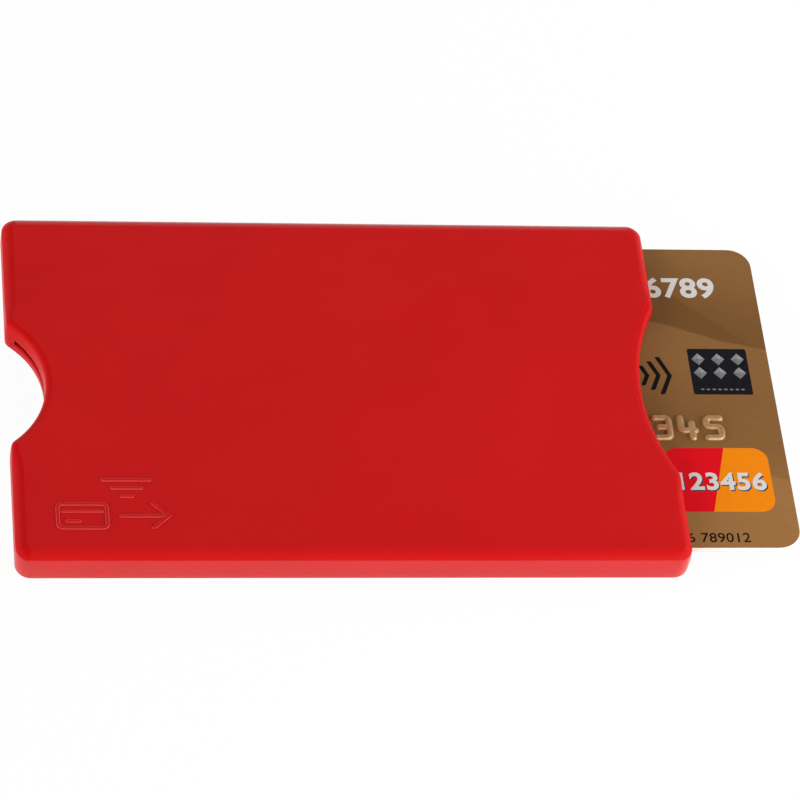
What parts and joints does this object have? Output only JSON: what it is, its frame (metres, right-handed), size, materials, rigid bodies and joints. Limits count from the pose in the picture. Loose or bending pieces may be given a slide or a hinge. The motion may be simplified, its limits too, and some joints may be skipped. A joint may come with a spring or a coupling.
{
  "type": "rfid card holder",
  "caption": "Slim hard-plastic sleeve lined with shielding foil, notched at both ends, with a bank card that slides out of its open mouth.",
  "frame": {"origin": "middle of the sleeve's flat back face", "axes": "+X out through the open mouth along the card's slide, +Y across the sleeve towards its far long edge, +Z from the back face to the front face"},
  "size_m": [0.1067, 0.0604, 0.005],
  "materials": {
    "sleeve_plastic": "satin",
    "shield_foil": "satin",
    "card_front_print": "satin",
    "card_back_print": "satin",
    "card_core": "matte",
    "copper_wire": "polished",
    "chip_contacts": "satin",
    "chip_tape": "matte",
    "chip_resin": "matte",
    "silicon": "polished",
    "magnetic_stripe": "satin",
    "signature_panel": "matte",
    "foil_patch": "gloss"
  },
  "bodies": {
    "holder": {"front_shell": "sleeve_plastic", "back_cover": "sleeve_plastic", "front_shield_foil": "shield_foil", "back_shield_foil": "shield_foil"},
    "card": {"card_front_sheet": "card_front_print", "card_core": "card_core", "card_back_sheet": "card_back_print", "card_antenna_coil": "copper_wire", "card_antenna_strap": "copper_wire", "chip_contact_plate": "chip_contacts", "chip_carrier_tape": "chip_tape", "chip_resin": "chip_resin", "chip_die": "silicon", "card_magnetic_stripe": "magnetic_stripe", "card_signature_panel": "signature_panel", "card_foil_patch": "foil_patch"}
  },
  "joints": [
    {"name": "card_slide", "type": "slide", "parent": "holder", "child": "card", "axis": [1, 0, 0], "range_m": [-0.0195, 0.071]}
  ]
}
